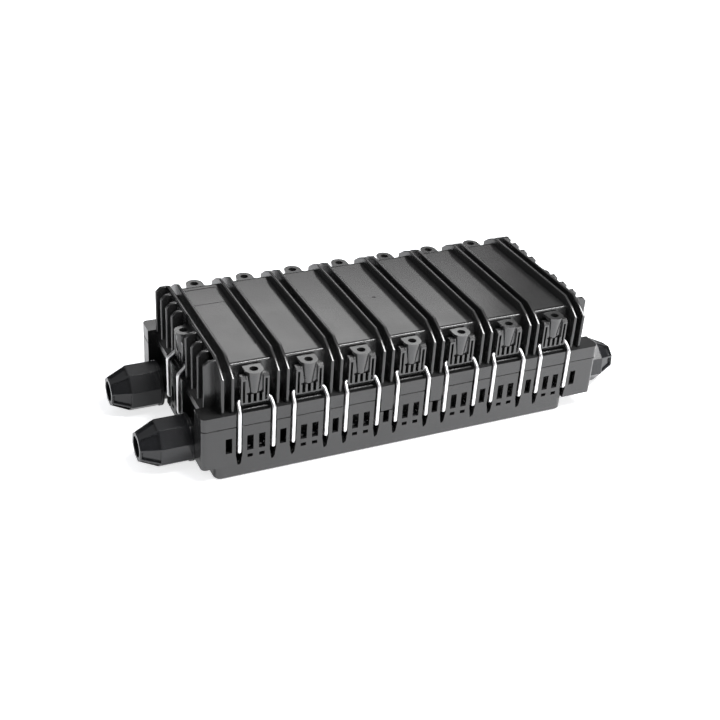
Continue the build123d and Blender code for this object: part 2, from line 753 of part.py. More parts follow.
cap_bottom = port_z + clamp_split_gap
with BuildPart() as clamp_caps:
    for x, y in clamp_places:
        with Locations((x, y, cap_bottom)):
            Box(clamp_length, clamp_width, clamp_cap_height, align=on_floor)
        with Locations(Location((x, y, port_z), (0, 90, 0))):
            Cylinder(clamp_saddle_radius, clamp_length, mode=Mode.SUBTRACT)
        with BuildSketch(Plane.XY.offset(cap_bottom)):
            with Locations(*[(x, y + side * clamp_screw_offset) for side in (-1, 1)]):
                RegularPolygon(screw_radius + screw_clearance, screw_sides)
        extrude(amount=clamp_cap_height, mode=Mode.SUBTRACT)
clamp_caps.part.label = "clamp_caps"
export_step(clamp_caps.part, "parts/clamp_caps.step")

cap_top = cap_bottom + clamp_cap_height
with BuildPart() as clamp_screws:
    screw_places = [(x, y + side * clamp_screw_offset) for x, y in clamp_places for side in (-1, 1)]
    with BuildSketch(Plane.XY.offset(cap_top)):
        with Locations(*screw_places):
            RegularPolygon(screw_head_radius, screw_sides)
    extrude(amount=screw_head_height)
    with BuildSketch(Plane.XY.offset(cap_top)):
        with Locations(*screw_places):
            RegularPolygon(screw_radius, screw_sides)
    extrude(amount=port_z - cap_top - clamp_screw_bite + screw_clearance)
clamp_screws.part.label = "clamp_screws"
export_step(clamp_screws.part, "parts/clamp_screws.step")

# Clamps that hold the cables' strength members
with BuildPart() as strength_member_clamps:
    for x, y in member_places:
        with Locations((x, y, floor_thickness)):
            Box(member_clamp_size, member_clamp_size, member_clamp_height, align=on_floor)
        with Locations((x, y, floor_thickness + member_clamp_height)):
            Box(member_clamp_size, member_slot, member_clamp_height, mode=Mode.SUBTRACT)
strength_member_clamps.part.label = "strength_member_clamps"
export_step(strength_member_clamps.part, "parts/strength_member_clamps.step")
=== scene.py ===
"""Looks of a closed dual-end fibre splice closure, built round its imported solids."""

from __future__ import annotations

import json
import logging
import math
from collections.abc import Callable, Iterable, Iterator
from contextlib import contextmanager
from dataclasses import dataclass, field
from enum import Enum

import bmesh
import bpy
from mathutils import Matrix, Vector


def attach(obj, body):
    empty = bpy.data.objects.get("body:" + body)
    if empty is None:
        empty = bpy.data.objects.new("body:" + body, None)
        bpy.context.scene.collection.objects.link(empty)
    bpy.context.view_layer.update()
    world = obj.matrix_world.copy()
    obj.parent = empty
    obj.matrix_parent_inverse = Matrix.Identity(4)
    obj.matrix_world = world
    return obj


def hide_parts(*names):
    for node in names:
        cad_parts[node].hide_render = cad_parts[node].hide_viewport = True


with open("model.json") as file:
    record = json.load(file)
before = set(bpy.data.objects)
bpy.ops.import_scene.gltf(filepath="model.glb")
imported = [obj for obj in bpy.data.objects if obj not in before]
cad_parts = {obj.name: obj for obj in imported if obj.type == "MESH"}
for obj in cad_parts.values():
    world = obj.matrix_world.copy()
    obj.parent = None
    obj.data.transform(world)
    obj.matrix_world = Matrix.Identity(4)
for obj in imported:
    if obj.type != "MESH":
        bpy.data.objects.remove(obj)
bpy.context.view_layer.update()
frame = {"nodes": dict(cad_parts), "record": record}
LOG = logging.getLogger("closure")
MM = 0.001
# Width of the photograph, in pixels
PIXELS = 720
# How much of a normal runs along an axis: a face with less than the first lies beside the axis,
# and one with more than the second faces it
BESIDE, FACING = 0.2, 0.9
# Edges sharper than the first angle are rounded, and shading is smooth up to the second, in degrees
HARD_ANGLE, SMOOTH_ANGLE = 30.0, 42.0
# Room that an edge needs on its faces to be rounded, in widths of the rounding
BEVEL_ROOM = 1.1
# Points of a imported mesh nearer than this, in millimetres, are one point, and faces that turn by
# less than this angle, in degrees, are one face
WELD, FLAT_ANGLE = 0.002, 0.6
FaceTest = Callable[[bmesh.types.BMFace], bool]


class Select(Enum):
    """What an edit selects."""

    VERTS = "VERT"
    EDGES = "EDGE"
    FACES = "FACE"


class Side(Enum):
    """Which way a clip faces, as a turn about Z in degrees."""

    FRONT = 0.0
    REAR = 180.0
    LEFT = -90.0
    RIGHT = 90.0


@dataclass(frozen=True)
class Rim:
    """The outline of the seam and the bays along it, in millimetres."""

    pitch: float = 46.0
    count: int = 7
    half_width: float = 84.0
    end_x: float = 180.0
    flange_top: float = 61.0

    def bays(self) -> list[float]:
        """The middle of each bay along the closure, in millimetres."""
        return [(number - (self.count - 1) / 2) * self.pitch for number in range(self.count)]

    def pairs(self) -> list[float]:
        """The middle of each pair of ribs along the closure, in millimetres."""
        return [(number - self.count / 2) * self.pitch for number in range(self.count + 1)]


RIM = Rim()


# Tools of the bench


def pick(piece: bpy.types.Object) -> None:
    """Make one object the only selected one, and the active one."""
    bpy.ops.object.select_all(action="DESELECT")
    piece.select_set(True)
    bpy.context.view_layer.objects.active = piece


@contextmanager
def editing(piece: bpy.types.Object, what: Select = Select.FACES) -> Iterator[bmesh.types.BMesh]:
    """Open a mesh in edit mode with nothing selected.

    Args:
        piece: The mesh object to edit.
        what: The kind of element that selections are made of.

    Returns:
        The mesh under edit, for picking its elements by place or normal.
    """
    pick(piece)
    bpy.ops.object.mode_set(mode="EDIT")
    bpy.ops.mesh.select_mode(type=what.value)
    bpy.ops.mesh.select_all(action="DESELECT")
    try:
        yield bmesh.from_edit_mesh(piece.data)
    finally:
        bpy.ops.object.mode_set(mode="OBJECT")


def select_faces(mesh: bmesh.types.BMesh, test: FaceTest) -> None:
    """Select the faces that pass a test, and no others.

    Args:
        mesh: The mesh under edit.
        test: Says whether a face is wanted.
    """
    for face in mesh.faces:
        face.select_set(test(face))


def add_block(low: Iterable[float], high: Iterable[float]) -> bpy.types.Object:
    """Add a cube primitive between two corners.

    Args:
        low: Lowest corner, in millimetres.
        high: Highest corner, in millimetres.

    Returns:
        The new object, with its place in its mesh.
    """
    bottom, top = Vector(low) * MM, Vector(high) * MM
    bpy.ops.object.select_all(action="DESELECT")
    bpy.ops.mesh.primitive_cube_add(size=1.0, location=(bottom + top) / 2)
    block = bpy.context.active_object
    block.scale = top - bottom
    settle(block)
    return block


def add_drum(start: Iterable[float], axis: str, length: float, radii: tuple[float, float],
             sides: int, turn: float = 0.0) -> bpy.types.Object:
    """Add a cylinder or cone primitive that starts at a point and runs along an axis.

    Args:
        start: Middle of the first end, in millimetres.
        axis: X, Y or Z.
        length: Length along the axis, in millimetres.
        radii: Radius at the start and at the far end, in millimetres.
        sides: Number of sides.
        turn: Turn about its own axis, in degrees.

    Returns:
        The new object, with its place in its mesh.
    """
    bpy.ops.object.select_all(action="DESELECT")
    bpy.ops.mesh.primitive_cone_add(vertices=sides, radius1=radii[0] * MM, radius2=radii[1] * MM,
                                    depth=length * MM, location=(0, 0, 0))
    drum = bpy.context.active_object
    spin = Matrix.Rotation(math.radians(turn), 4, "Z")
    lift = Matrix.Translation((0, 0, length * MM / 2))
    tilt = {
        "X": Matrix.Rotation(math.pi / 2, 4, "Y"),
        "Y": Matrix.Rotation(-math.pi / 2, 4, "X"),
        "Z": Matrix.Identity(4),
    }[axis]
    drum.data.transform(Matrix.Translation(Vector(start) * MM) @ tilt @ lift @ spin)
    return drum


def settle(piece: bpy.types.Object) -> None:
    """Put an object's place, turn and scale into its mesh."""
    pick(piece)
    bpy.ops.object.transform_apply(location=True, rotation=True, scale=True)


def unite(pieces: list[bpy.types.Object], name: str) -> bpy.types.Object:
    """Join several objects into one mesh object.

    Args:
        pieces: The objects to join; the first one stays.
        name: Name of the joined object.

    Returns:
        The joined object.
    """
    pick(pieces[0])
    for piece in pieces[1:]:
        piece.select_set(True)
    bpy.ops.object.join()
    joined = bpy.context.active_object
    joined.name = name
    return joined


def carve(piece: bpy.types.Object, tools: list[bpy.types.Object],
          operation: str = "DIFFERENCE") -> None:
    """Cut or add other solids with boolean modifiers, and clear the tools away.

    Args:
        piece: The solid that is worked on.
        tools: The solids that cut it or grow it.
        operation: DIFFERENCE or UNION.
    """
    for tool in tools:
        work = piece.modifiers.new("carve", "BOOLEAN")
        work.operation = operation
        work.solver = "EXACT"
        work.object = tool
        pick(piece)
        bpy.ops.object.modifier_apply(modifier=work.name)
        bpy.data.objects.remove(tool, do_unlink=True)


def roomy(edge: bmesh.types.BMEdge, room: float) -> bool:
    """Say whether an edge is long enough, and its faces wide enough, for a bevel.

    Args:
        edge: The edge to judge.
        room: What the bevel needs on each face, in metres.

    Returns:
        Whether the bevel fits.
    """
    start, end = (vert.co for vert in edge.verts)
    run = end - start
    if run.length < 2 * room:
        return False
    along = run.normalized()
    for face in edge.link_faces:
        reach = max((vert.co - start).cross(along).length for vert in face.verts)
        if reach < 2 * room:
            return False
    return True


def middle_of(edge: bmesh.types.BMEdge) -> Vector:
    """The middle of an edge, in millimetres."""
    return (edge.verts[0].co + edge.verts[1].co) / (2 * MM)


def is_corner(edge: bmesh.types.BMEdge, axis: int) -> bool:
    """Say whether an edge parts a face that looks along an axis from one that lies beside it.

    Args:
        edge: An edge with two faces.
        axis: 0 for X, 1 for Y or 2 for Z.

    Returns:
        Whether the two faces differ in this way.
    """
    shares = sorted(abs(face.normal[axis]) for face in edge.link_faces)
    return shares[0] < BESIDE and shares[-1] > FACING


def strip(side: int, edge: float, insets: tuple[float, float]) -> tuple[float, float]:
    """Low and high coordinate of a strip inside an edge, on one side of the middle."""
    low, high = sorted(side * (edge - inset) for inset in insets)
    return low, high


def soften(piece: bpy.types.Object, width: float) -> None:
    """Round the hard edges of a mesh that have room for it, and shade the mesh smooth.

    Args:
        piece: The mesh object.
        width: Width of the rounding, in millimetres.
    """
    with editing(piece, Select.EDGES) as mesh:
        for edge in mesh.edges:
            two_faced = len(edge.link_faces) == 2
            hard = two_faced and edge.calc_face_angle(0.0) > math.radians(HARD_ANGLE)
            edge.select_set(hard and roomy(edge, BEVEL_ROOM * width * MM))
        bpy.ops.transform.edge_bevelweight(value=1.0)
    bevel = piece.modifiers.new("soften", "BEVEL")
    bevel.width = width * MM
    bevel.segments = 2
    bevel.limit_method = "WEIGHT"
    bevel.use_clamp_overlap = True
    pick(piece)
    bpy.ops.object.modifier_apply(modifier=bevel.name)
    bpy.ops.object.shade_smooth_by_angle(angle=math.radians(SMOOTH_ANGLE))
    level = piece.modifiers.new("level", "WEIGHTED_NORMAL")
    level.keep_sharp = True
    level.weight = 100
    pick(piece)
    bpy.ops.object.modifier_apply(modifier=level.name)


def twin(piece: bpy.types.Object, name: str, place: Matrix) -> bpy.types.Object:
    """Copy a piece with its own mesh, moved in the mesh.

    Args:
        piece: The piece to copy.
        name: Name of the copy.
        place: Where the copy goes, from where the piece is.

    Returns:
        The copy, with its object at the origin.
    """
    copy = piece.copy()
    copy.data = piece.data.copy()
    copy.name = name
    copy.data.name = name
    copy.data.transform(place)
    bpy.context.collection.objects.link(copy)
    return copy


def node_copy(node: str, name: str) -> bpy.types.Object:
    """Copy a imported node's mesh, with its triangles merged into whole faces.

    Args:
        node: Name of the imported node.
        name: Name of the new piece.

    Returns:
        The new piece.
    """
    piece = twin(frame["nodes"][node], name, Matrix.Identity(4))
    for layer in list(piece.data.color_attributes):
        piece.data.color_attributes.remove(layer)
    with editing(piece):
        bpy.ops.mesh.select_all(action="SELECT")
        bpy.ops.mesh.remove_doubles(threshold=WELD * MM)
        bpy.ops.mesh.dissolve_limited(angle_limit=math.radians(FLAT_ANGLE))
    pick(piece)
    bpy.ops.mesh.customdata_custom_splitnormals_clear()
    return piece


def maths(tree: bpy.types.NodeTree, operation: str,
          *values: bpy.types.NodeSocket | float) -> bpy.types.NodeSocket:
    """Add a math node to a node tree.

    Args:
        tree: The node tree.
        operation: Blender's name of the operation.
        values: Its inputs in order, each a socket or a plain number.

    Returns:
        The node's output.
    """
    node = tree.nodes.new("ShaderNodeMath")
    node.operation = operation
    for entry, value in zip(node.inputs, values):
        if isinstance(value, bpy.types.NodeSocket):
            tree.links.new(value, entry)
        else:
            entry.default_value = value
    return node.outputs[0]


# Finishes


@dataclass(frozen=True)
class Moulded:
    """Moulded black plastic with a fine grain and broad clouds of tone and gloss."""

    name: str
    colour: tuple[float, float, float]
    roughness: float
    relief: float = 0.05
    cloud: float = 0.06
    gloss: float = 0.8
    grain: float = 0.9
    grain_height: float = 0.05
    cloud_waves: float = 22.0

    def make(self) -> bpy.types.Material:
        """Build the material.

        Returns:
            The node material.
        """
        paint = Nodes(self.name)
        paint.shader("Specular IOR Level", self.gloss)
        fine = paint.noise(1.0 / (self.grain * MM), detail=3.0, rough=0.6)
        broad = paint.noise(self.cloud_waves, detail=4.0, rough=0.55)
        paint.tones(broad, self.colour, shades=(0.82, 1.25), stops=(0.32, 0.68))
        paint.spread(broad, "Roughness", self.roughness - self.cloud, self.roughness + self.cloud)
        paint.bump(fine, self.relief, self.grain_height * MM)
        return paint.material


@dataclass(frozen=True)
class Metal:
    """Bright drawn or rolled metal with fine marks along it."""

    name: str
    colour: tuple[float, float, float]
    roughness: float
    streak: tuple[float, float, float] = (400.0, 400.0, 60.0)
    polish: float = 0.06
    wear: float = 0.08
    relief: float = 0.08
    mark_height: float = 0.02

    def make(self) -> bpy.types.Material:
        """Build the material.

        Returns:
            The node material.
        """
        paint = Nodes(self.name)
        paint.shader("Metallic", 1.0)
        marks = paint.noise(1.0, detail=3.0, rough=0.6, stretch=self.streak)
        paint.tones(marks, self.colour, shades=(0.88, 1.0), stops=(0.3, 0.7))
        paint.spread(marks, "Roughness", self.roughness - self.polish, self.roughness + self.wear)
        paint.bump(marks, self.relief, self.mark_height * MM)
        return paint.material


@dataclass(frozen=True)
class Rubber:
    """Soft matt rubber or dull plastic with a speckled surface."""

    name: str
    colour: tuple[float, float, float]
    roughness: float = 0.7
    see_through: float = 0.0
    speckles: float = 900.0
    uneven: float = 0.08
    relief: float = 0.12
    speckle_height: float = 0.05

    def make(self) -> bpy.types.Material:
        """Build the material.

        Returns:
            The node material.
        """
        paint = Nodes(self.name)
        paint.shader("Transmission Weight", self.see_through)
        speckle = paint.noise(self.speckles, detail=2.0, rough=0.6)
        paint.tones(speckle, self.colour, shades=(0.85, 1.0), stops=(0.35, 0.65))
        low, high = self.roughness - self.uneven, self.roughness + self.uneven
        paint.spread(speckle, "Roughness", low, high)
        paint.bump(speckle, self.relief, self.speckle_height * MM)
        return paint.material


class Nodes:
    """A material under construction, read in the object's own coordinates."""

    # Most of a noise pattern lies between these
    LOW, HIGH = 0.3, 0.7

    def __init__(self, name: str) -> None:
        """Start a material with a principled shader."""
        self.material = bpy.data.materials.new(name)
        self.material.use_nodes = True
        self.tree = self.material.node_tree
        self.principled = self.tree.nodes["Principled BSDF"]
        self.where = self.tree.nodes.new("ShaderNodeTexCoord").outputs["Object"]

    def shader(self, socket: str, value: float) -> None:
        """Set a plain number on the shader's own socket."""
        self.principled.inputs[socket].default_value = value

    def noise(self, scale: float, detail: float, rough: float,
              stretch: tuple[float, float, float] | None = None) -> bpy.types.NodeSocket:
        """Add a noise pattern.

        Args:
            scale: Waves to the metre.
            detail: Octaves.
            rough: Strength of the finer octaves.
            stretch: Scale along each axis, for streaks.

        Returns:
            The pattern's factor socket.
        """
        pattern = self.tree.nodes.new("ShaderNodeTexNoise")
        pattern.inputs["Scale"].default_value = scale
        pattern.inputs["Detail"].default_value = detail
        pattern.inputs["Roughness"].default_value = rough
        source = self.where
        if stretch is not None:
            mapping = self.tree.nodes.new("ShaderNodeMapping")
            mapping.inputs["Scale"].default_value = stretch
            self.tree.links.new(source, mapping.inputs["Vector"])
            source = mapping.outputs["Vector"]
        self.tree.links.new(source, pattern.inputs["Vector"])
        return pattern.outputs["Fac"]

    def tones(self, factor: bpy.types.NodeSocket, colour: tuple[float, float, float],
              shades: tuple[float, float], stops: tuple[float, float]) -> None:
        """Vary the base colour between two shades of one colour.

        Args:
            factor: What drives the change.
            colour: The colour itself.
            shades: What the colour is multiplied by at the first and at the second stop.
            stops: Places of the two stops on the pattern.
        """
        ramp = self.tree.nodes.new("ShaderNodeValToRGB")
        for element, place, shade in zip(ramp.color_ramp.elements, stops, shades):
            element.position = place
            element.color = (*(shade * channel for channel in colour), 1)
        self.tree.links.new(factor, ramp.inputs["Fac"])
        self.tree.links.new(ramp.outputs["Color"], self.principled.inputs["Base Color"])

    def spread(self, factor: bpy.types.NodeSocket, socket: str, low: float, high: float) -> None:
        """Vary a shader socket between two numbers.

        Args:
            factor: What drives it.
            socket: The shader's socket.
            low: Value where the pattern is low.
            high: Value where the pattern is high.
        """
        span = self.tree.nodes.new("ShaderNodeMapRange")
        span.inputs["From Min"].default_value = self.LOW
        span.inputs["From Max"].default_value = self.HIGH
        span.inputs["To Min"].default_value = low
        span.inputs["To Max"].default_value = high
        self.tree.links.new(factor, span.inputs["Value"])
        self.tree.links.new(span.outputs["Result"], self.principled.inputs[socket])

    def bump(self, height: bpy.types.NodeSocket, strength: float, distance: float) -> None:
        """Raise the surface by a pattern.

        Args:
            height: The pattern.
            strength: Share of the relief that shows.
            distance: Height of the relief in metres.
        """
        relief = self.tree.nodes.new("ShaderNodeBump")
        relief.inputs["Strength"].default_value = strength
        relief.inputs["Distance"].default_value = distance
        self.tree.links.new(height, relief.inputs["Height"])
        self.tree.links.new(relief.outputs["Normal"], self.principled.inputs["Normal"])


FINISHES = (
    Moulded("shell_black", (0.018, 0.018, 0.018), 0.23, relief=0.012, cloud=0.03),
    Moulded("lever_black", (0.024, 0.024, 0.024), 0.22, gloss=1.0),
    Moulded("nut_black", (0.008, 0.0085, 0.010), 0.2, gloss=0.6),
    Metal("wire_steel", (0.97, 0.97, 0.97), 0.34),
    Rubber("ring_plastic", (0.62, 0.62, 0.58), 0.5),
    Rubber("seal_rubber", (0.03, 0.03, 0.033)),
    Metal("bracket_steel", (0.62, 0.63, 0.64), 0.34, streak=(40.0, 600.0, 600.0)),
    Metal("screw_steel", (0.60, 0.60, 0.60), 0.3),
    Rubber("tray_grey", (0.50, 0.51, 0.52), 0.5),
    Rubber("tray_clear", (0.80, 0.82, 0.84), 0.25, see_through=0.6),
    Rubber("clamp_plastic", (0.02, 0.02, 0.021), 0.6),
)


@dataclass
class FinishBox:
    """All finishes of the closure, one for each of the record's material slots."""

    finishes: dict[str, Moulded | Metal | Rubber] = field(
        default_factory=lambda: {finish.name: finish for finish in FINISHES}
    )
    made: dict[str, bpy.types.Material] = field(default_factory=dict)

    def coat(self, piece: bpy.types.Object, slot: str) -> None:
        """Give a piece the finish of a slot.

        Args:
            piece: The mesh object.
            slot: The record's material slot.
        """
        if slot not in self.made:
            self.made[slot] = self.finishes[slot].make()
        piece.data.materials.clear()
        piece.data.materials.append(self.made[slot])


# Sub-assemblies


@dataclass
class Assembly:
    """A part of the closure that makes its pieces and hands them to the frame."""

    box: FinishBox

    def seat(self, piece: bpy.types.Object, body: str, slot: str, *nodes: str) -> None:
        """Finish a piece and tie it to its body.

        Args:
            piece: The finished mesh object.
            body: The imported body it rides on.
            slot: The record's material slot.
            nodes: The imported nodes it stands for.
        """
        self.box.coat(piece, slot)
        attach(piece, body)
        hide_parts(*nodes)
        LOG.info("%s rides on %s", piece.name, body)


@dataclass
class Shells(Assembly):
    """The two moulded shells, with the fine grooves and the beads round the lid.

    Sizes are in millimetres. A slack says how near an edge lies to where it is looked for, and
    the values above and beyond keep the search clear of the walls next to it.
    """

    edge: float = 0.5
    seam: float = 49.0
    seam_slope: float = 0.55
    seam_slack: float = 0.05
    rim_slack: float = 0.2
    panel_top: float = 97.0
    panel_edge: float = 67.0
    panel_half: float = 16.9
    lip_groove: tuple[float, float] = (2.6, 1.8)
    lip_depth: float = 0.7
    bead_groove: tuple[float, float] = (3.6, 1.2)
    bead_groove_half: float = 11.6
    bead_groove_depth: float = 2.2
    label_rear_x: tuple[float, float] = (-13.6, 13.2)
    label_rear_y: tuple[float, float] = (33.0, 33.7)
    label_right_x: tuple[float, float] = (13.3, 14.0)
    label_right_y: tuple[float, float] = (-26.0, 33.7)
    label_depth: float = 0.8
    over: float = 1.0
    bead_half: float = 10.6
    bead_y: tuple[float, float] = (3.7, 5.3)
    bead_sunk: float = 0.4
    bead_height: float = 1.3
    bead_round: float = 0.65
    bead_smooth: float = 50.0
    rib_offset: float = 4.1
    rib_slack: float = 0.3
    web_half: float = 1.4
    web_round: float = 1.1
    webs_above: float = 2.0
    ribs_above: float = 0.4
    ribs_beyond: float = 1.0
    cover_end: float = 166.5
    fins_beyond: float = 0.5

    def grooves(self) -> bpy.types.Object:
        """Make the cutter of the grooves in the panels and the flange.

        Returns:
            The grooves behind each panel's lips and each bead, and at two edges of the label
            field, as one mesh. They don't overlap, since an exact boolean fails where they do.
        """
        cutters = []
        lip_z, panel_z = self.panel_top - self.lip_depth, self.panel_top + self.over
        low_z, high_z = RIM.flange_top - self.bead_groove_depth, RIM.flange_top + self.over
        half = self.bead_groove_half
        for x in RIM.bays():
            for side in (-1, 1):
                low, high = strip(side, self.panel_edge, self.lip_groove)
                cutters.append(add_block((x - self.panel_half, low, lip_z),
                                         (x + self.panel_half, high, panel_z)))
                low, high = strip(side, RIM.half_width, self.bead_groove)
                cutters.append(add_block((x - half, low, low_z), (x + half, high, high_z)))
        label, label_z = RIM.bays()[0], self.panel_top - self.label_depth
        for (left, right), (front, rear) in ((self.label_rear_x, self.label_rear_y),
                                             (self.label_right_x, self.label_right_y)):
            cutters.append(add_block((label + left, front, label_z),
                                     (label + right, rear, panel_z)))
        for side in (-1, 1):
            low, high = strip(side, RIM.end_x, self.bead_groove)
            cutters.append(add_block((low, -half, low_z), (high, half, high_z)))
        return unite(cutters, "groove_cutters")

    def part_line(self, shell: bpy.types.Object) -> None:
        """Slope a shell's outer edge at the seam, so that the joint shows as a fine line.

        Args:
            shell: A shell's copy, before its other edges are softened.
        """
        seam, slack = self.seam * MM, self.seam_slack * MM
        with editing(shell, Select.EDGES) as mesh:
            for edge in mesh.edges:
                level = all(abs(vert.co.z - seam) < slack for vert in edge.verts)
                x, y, _ = middle_of(edge)
                outer = (abs(y) > RIM.half_width - self.rim_slack
                         or abs(x) > RIM.end_x - self.rim_slack)
                edge.select_set(level and outer and len(edge.link_faces) == 2)
            bpy.ops.mesh.bevel(offset=self.seam_slope * MM, segments=1, affect="EDGES",
                               clamp_overlap=True)

    def bead(self) -> bpy.types.Object:
        """Make one rounded bead, which lies under a lever's front.

        Returns:
            The bead in the clip's own frame.
        """
        front, back = self.bead_y
        bead = add_block((-self.bead_half, front, RIM.flange_top - self.bead_sunk),
                         (self.bead_half, back, RIM.flange_top + self.bead_height))
        with editing(bead, Select.EDGES) as mesh:
            for edge in mesh.edges:
                edge.select_set(all(vert.co.z > RIM.flange_top * MM for vert in edge.verts))
            bpy.ops.mesh.bevel(offset=self.bead_round * MM, segments=3, affect="EDGES")
        pick(bead)
        bpy.ops.object.shade_smooth_by_angle(angle=math.radians(self.bead_smooth))
        return bead

    def round_webs(self, shell: bpy.types.Object) -> None:
        """Round the free edges of the ribs and fins, which are thin webs.

        Args:
            shell: The upper shell's copy, before its other edges are softened.
        """
        rib_sides = [pair + side * (self.rib_offset + face) for pair in RIM.pairs()
                     for side in (-1, 1) for face in (-self.web_half, self.web_half)]
        with editing(shell, Select.EDGES) as mesh:
            for edge in mesh.edges:
                x, y, z = middle_of(edge)
                free = z > RIM.flange_top + self.webs_above and len(edge.link_faces) == 2
                raised = (z > self.panel_top + self.ribs_above
                          or abs(y) > self.panel_edge + self.ribs_beyond)
                rib = raised and any(abs(x - place) < self.rib_slack for place in rib_sides)
                rib = rib and free and is_corner(edge, 0)
                fin = abs(x) > self.cover_end + self.fins_beyond and free and is_corner(edge, 1)
                edge.select_set((rib or fin) and roomy(edge, self.web_round * MM))
            bpy.ops.mesh.bevel(offset=self.web_round * MM, segments=4, affect="EDGES",
                               clamp_overlap=False)

    def build(self) -> None:
        """Make both shells from their solids, with softened edges, grooves and beads."""
        for node in ("lower_shell", "upper_shell"):
            shell = node_copy(node, f"{node}_moulding")
            if node == "upper_shell":
                carve(shell, [self.grooves()])
                self.round_webs(shell)
            self.part_line(shell)
            soften(shell, self.edge)
            self.seat(shell, "root", "shell_black", node)
        bead = self.bead()
        seats = Clips(self.box).places()
        beads = [twin(bead, f"bead_{name}", place) for name, place in seats.items()]
        bpy.data.objects.remove(bead, do_unlink=True)
        self.seat(unite(beads, "seam_beads"), "root", "shell_black")


@dataclass
class Clips(Assembly):
    """The sixteen clips, each a bent wire bail with a dark sleeve of painted shade, and a slotted
    lever.

    Sizes are in millimetres. A clip's own frame has the rim at y = 0, the shells behind it and
    the clip's middle at x = 0.
    """

    wire: float = 1.6
    wire_smooth: float = 40.0
    leg: float = 14.4
    proud: float = -0.8
    pivot: float = 6.6
    crossbar: float = 25.0
    bend: float = 62.2
    bend_radius: float = 1.9
    hinge: float = 68.6
    stub: float = 10.8
    lean: float = 0.9
    sleeve_half: float = 8.6
    sleeve_radius: float = 2.3
    sleeve_rim: float = 0.4
    sleeve_step: float = 0.2
    sleeve_dish: float = 0.3
    sleeve_sides: int = 24
    sleeve_edge: float = 0.2
    lever_half: float = 11.7
    lever_front: float = 4.4
    lever_back: float = 10.0
    lever_low: float = 66.1
    lever_top: float = 91.0
    lever_corner: float = 2.2
    lever_edge: float = 0.42
    lever_weld: float = 0.01
    lever_flat: float = 0.5
    corner_slack: float = 0.1
    heel_low: float = 62.0
    heel_high: float = 67.0
    heel_front: float = 7.2
    heel_inset: float = 0.8
    recess_half: float = 7.1
    recess_low: float = 74.6
    recess_depth: float = 1.9
    boss_y: float = 8.6
    boss_low: float = 71.0
    boss_top: float = 95.0
    boss_radii: tuple[float, float] = (3.6, 6.9)
    boss_sides: int = 32
    boss_shave: tuple[tuple[float, ...], ...] = ((-10.0, 14.0, 60.0), (10.0, 30.0, 100.0))
    cap_height: float = 2.2
    cap_radii: tuple[float, float] = (7.1, 7.6)
    cap_back: float = 15.4
    socket_radius: float = 3.7
    socket_depth: float = 14.0
    socket_cut: float = 20.0
    star_sides: int = 6
    star_turns: tuple[float, float] = (0.0, 30.0)
    rail_slot_x: tuple[float, float] = (8.3, 10.3)
    rail_slot_y: tuple[float, float] = (0.0, 20.0)
    rail_slot_z: tuple[float, float] = (67.4, 87.2)
    bore_start: float = 7.4
    bore_length: float = 8.0
    bore_radius: float = 1.65
    bore_sides: int = 16
    slot_pitch: float = 4.7
    slot_half: float = 1.35
    slot_y: tuple[float, float] = (3.0, 16.0)
    slot_z: tuple[float, float] = (66.9, 74.9)

    def places(self) -> dict[str, Matrix]:
        """Where each clip sits.

        Returns:
            For each clip's name, the matrix from the clip's own frame to the closure's.
        """
        seats: dict[str, Matrix] = {}
        for number, x in enumerate(RIM.bays(), start=1):
            seats[f"front_{number}"] = self.place(x, -RIM.half_width, Side.FRONT)
            seats[f"rear_{number}"] = self.place(x, RIM.half_width, Side.REAR)
        seats["left_end"] = self.place(-RIM.end_x, 0.0, Side.LEFT)
        seats["right_end"] = self.place(RIM.end_x, 0.0, Side.RIGHT)
        return seats

    @staticmethod
    def place(x: float, y: float, side: Side) -> Matrix:
        """The matrix of a clip at a point of the rim, in millimetres, facing one side."""
        turn = Matrix.Rotation(math.radians(side.value), 4, "Z")
        return Matrix.Translation((x * MM, y * MM, 0)) @ turn

    def bail(self) -> bpy.types.Object:
        """Bend one wire bail.

        Returns:
            The bail in the clip's own frame.
        """
        half = [
            (self.stub, self.pivot, self.hinge),
            (self.leg - self.lean, self.pivot, self.hinge),
            (self.leg, self.proud, self.bend),
            (self.leg, self.proud, self.crossbar),
            (self.leg, self.pivot, self.crossbar),
        ]
        path = [Vector(point) for point in half]
        path += [Vector((-point[0], point[1], point[2])) for point in reversed(half)]
        bpy.ops.object.select_all(action="DESELECT")
        bpy.ops.mesh.primitive_plane_add(size=MM, location=(0, 0, 0))
        wire = bpy.context.active_object
        with editing(wire, Select.VERTS):
            bpy.ops.mesh.select_all(action="SELECT")
            bpy.ops.mesh.merge(type="CENTER")
            bpy.ops.transform.translate(value=path[0] * MM)
            for here, there in zip(path, path[1:]):
                step = {"value": (there - here) * MM}
                bpy.ops.mesh.extrude_region_move(TRANSFORM_OT_translate=step)
            mesh = bmesh.from_edit_mesh(wire.data)
            for vert in mesh.verts:
                vert.select_set(len(vert.link_edges) == 2)
            mesh.select_flush_mode()
            bpy.ops.mesh.bevel(offset=self.bend_radius * MM, segments=6, affect="VERTICES",
                               clamp_overlap=True)
        pick(wire)
        bpy.ops.object.convert(target="CURVE")
        wire = bpy.context.active_object
        wire.data.bevel_depth = self.wire * MM
        wire.data.bevel_resolution = 4
        wire.data.use_fill_caps = True
        pick(wire)
        bpy.ops.object.convert(target="MESH")
        wire = bpy.context.active_object
        bpy.ops.object.shade_smooth_by_angle(angle=math.radians(self.wire_smooth))
        return wire

